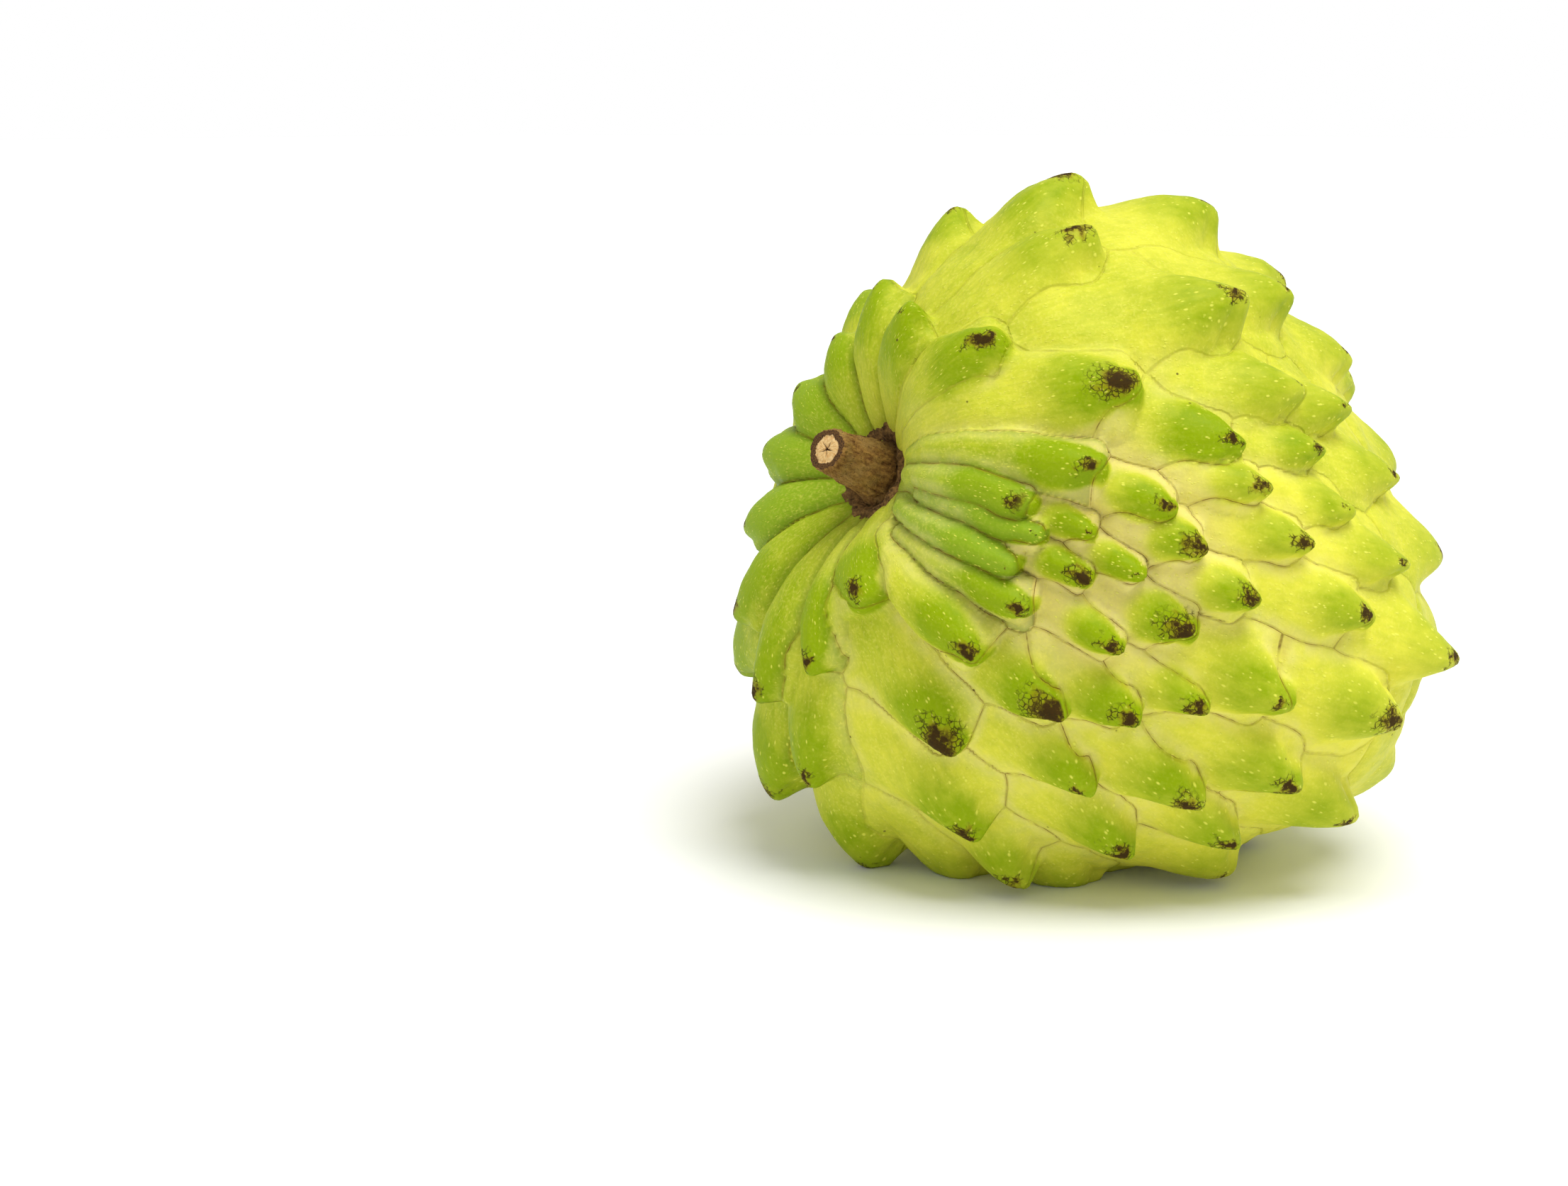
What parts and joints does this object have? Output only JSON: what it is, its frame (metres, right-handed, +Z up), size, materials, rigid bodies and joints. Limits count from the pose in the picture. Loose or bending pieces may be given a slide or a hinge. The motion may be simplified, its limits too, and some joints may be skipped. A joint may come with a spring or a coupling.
{
  "type": "custard apple",
  "caption": "Whole custard apple lying on its side: knobbly heart-shaped green fruit, its scales drawn out to soft beaks, with a short woody stem stub in its pit.",
  "frame": {"origin": "on the resting spot, straight below the middle of the fruit", "axes": "+Z up as the fruit lies, the stem end points to -Y and 19 degrees up, +X to the right when seen from the stem end"},
  "size_m": [0.1047, 0.1034, 0.1038],
  "materials": {
    "skin": "satin, green beaks over pale yellow-green valleys, brown scorched tips",
    "stem_wood": "matte brown bark with a pale cut end and a corky collar"
  },
  "bodies": {
    "root": {"fruit": "skin", "stem": "stem_wood"}
  },
  "joints": []
}
